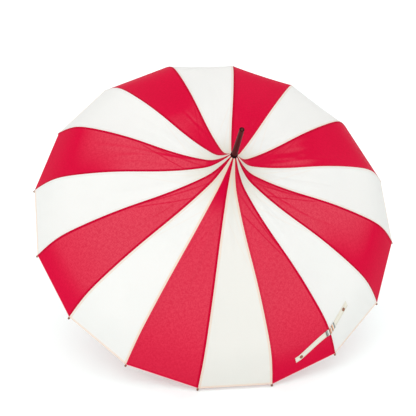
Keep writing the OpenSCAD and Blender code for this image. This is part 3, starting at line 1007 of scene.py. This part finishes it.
def paint_ferrule():
    """Lacquered tube with a dark band round its end and a paler plug in it."""
    mesh = paint("ferrule", FERRULE, FERRULE_RING, FERRULE_PLUG)
    tip = max(v.co.z for v in mesh.vertices)
    for face in mesh.polygons:
        if face.center.z > tip - RING_H:
            from_axis = math.hypot(face.center.x, face.center.y)
            face.material_index = 2 if from_axis < PLUG_R else 1


def smooth_cad_nodes():
    """Round surfaces shaded round, with the edges of the CAD kept sharp."""
    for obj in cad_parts.values():
        obj.data.polygons.foreach_set("use_smooth", [True] * len(obj.data.polygons))
        obj.data.set_sharp_from_angle(angle=math.radians(32))


smooth_cad_nodes()
for k in range(1, RIBS + 1):
    paint_rib(k)
    paint(f"stretcher_{k:02d}", STEEL)
for node in ("notch_wire", "runner_wire", "top_catch", "bottom_catch", "shaft_tube"):
    paint(node, SHAFT_STEEL)
paint("top_notch", ENAMEL)
paint("runner", ENAMEL)
paint_ferrule()
paint("ferrule_collar", FERRULE_RING)
paint("handle", WOOD)
paint("handle_collar", BRASS)


# --- floor, light and camera -----------------------------------------------------------------


FLOOR_HALF = 40.0
CAMERA_AZIMUTH = math.radians(2.2)
CAMERA_ELEVATION = math.radians(61.8)
CAMERA_ROLL = math.radians(16.2)
CAMERA_DISTANCE = 2.991
CAMERA_LENS = 103.85
CAMERA_TARGET = Vector((-23.9 * MM, 16 * MM, RIM_Z))
# Toward the light, as seen by the camera: slightly left, slightly up, mostly behind it
KEY_DIRECTION = Vector((-0.15, 0.27, 0.95))


def resting_plane(nodes):
    """The plane that touches three nodes from below: (point, unit normal)."""
    clouds = [node_points(n) for n in nodes]
    normal = np.array([-0.3, 0.7, 0.65])
    for _ in range(12):
        a, b, c = (cloud[np.argmin(cloud @ normal)] for cloud in clouds)
        normal = np.cross(b - a, c - a)
        normal /= np.linalg.norm(normal)
        if normal[2] < 0:
            normal = -normal
    return Vector(a), Vector(normal)


def floor_material():
    """Pale floor, slightly lit so that it fades into the backdrop, and clear from behind."""
    m = Nodes("floor")
    diffuse = m.add("ShaderNodeBsdfDiffuse", Color=(0.83, 0.9, 0.89, 1.0))
    lit = m.add("ShaderNodeEmission", Color=(1.0, 1.0, 1.0, 1.0), Strength=0.12)
    pale = m.add("ShaderNodeAddShader")
    m.put(pale, 0, diffuse.outputs[0])
    m.put(pale, 1, lit.outputs[0])
    clear = m.add("ShaderNodeBsdfTransparent")
    behind = m.add("ShaderNodeNewGeometry").outputs["Backfacing"]
    return m.done(m.blend(behind, pale, clear))


def build_floor():
    """The umbrella rests on the tips of ribs 13 and 14 and on its handle."""
    point, normal = resting_plane(["rib_13", "rib_14", "handle"])
    mesh = bpy.data.meshes.new("floor")
    turns = ((-1, -1), (1, -1), (1, 1), (-1, 1))
    corners = [(x * FLOOR_HALF, y * FLOOR_HALF, 0) for x, y in turns]
    mesh.from_pydata(corners, [], [(0, 1, 2, 3)])
    mesh.materials.append(floor_material())
    floor = bpy.data.objects.new("floor", mesh)
    floor.rotation_mode = "QUATERNION"
    floor.rotation_quaternion = normal.to_track_quat("Z", "Y")
    floor.location = point - normal * 0.2 * MM
    bpy.context.scene.collection.objects.link(floor)


def build_camera():
    """The photograph's viewpoint: from in front and above, with the shaft leaning right."""
    level = math.cos(CAMERA_ELEVATION)
    back = Vector(
        (
            math.sin(CAMERA_AZIMUTH) * level,
            -math.cos(CAMERA_AZIMUTH) * level,
            math.sin(CAMERA_ELEVATION),
        )
    )
    data = bpy.data.cameras.new("camera")
    data.sensor_width = 36
    data.lens = CAMERA_LENS
    data.clip_end = 100
    camera = bpy.data.objects.new("camera", data)
    camera.rotation_mode = "QUATERNION"
    upright = (-back).to_track_quat("-Z", "Y")
    camera.rotation_quaternion = upright @ Matrix.Rotation(CAMERA_ROLL, 3, "Z").to_quaternion()
    camera.location = CAMERA_TARGET + back * CAMERA_DISTANCE
    bpy.context.scene.collection.objects.link(camera)
    bpy.context.scene.camera = camera
    return camera


def build_light(camera):
    """A white dome with one broad, weak light from the upper left of the picture."""
    world = bpy.data.worlds.new("studio")
    world.use_nodes = True
    background = world.node_tree.nodes["Background"]
    background.inputs[0].default_value = (1, 1, 1, 1)
    background.inputs[1].default_value = 1.1
    bpy.context.scene.world = world
    data = bpy.data.lights.new("key", "SUN")
    data.energy = 1.0
    data.angle = math.radians(50)
    light = bpy.data.objects.new("key", data)
    light.rotation_mode = "QUATERNION"
    toward = camera.rotation_quaternion @ KEY_DIRECTION
    light.rotation_quaternion = toward.to_track_quat("Z", "Y")
    bpy.context.scene.collection.objects.link(light)
    bpy.context.scene.view_settings.view_transform = "Standard"


build_floor()
build_light(build_camera())
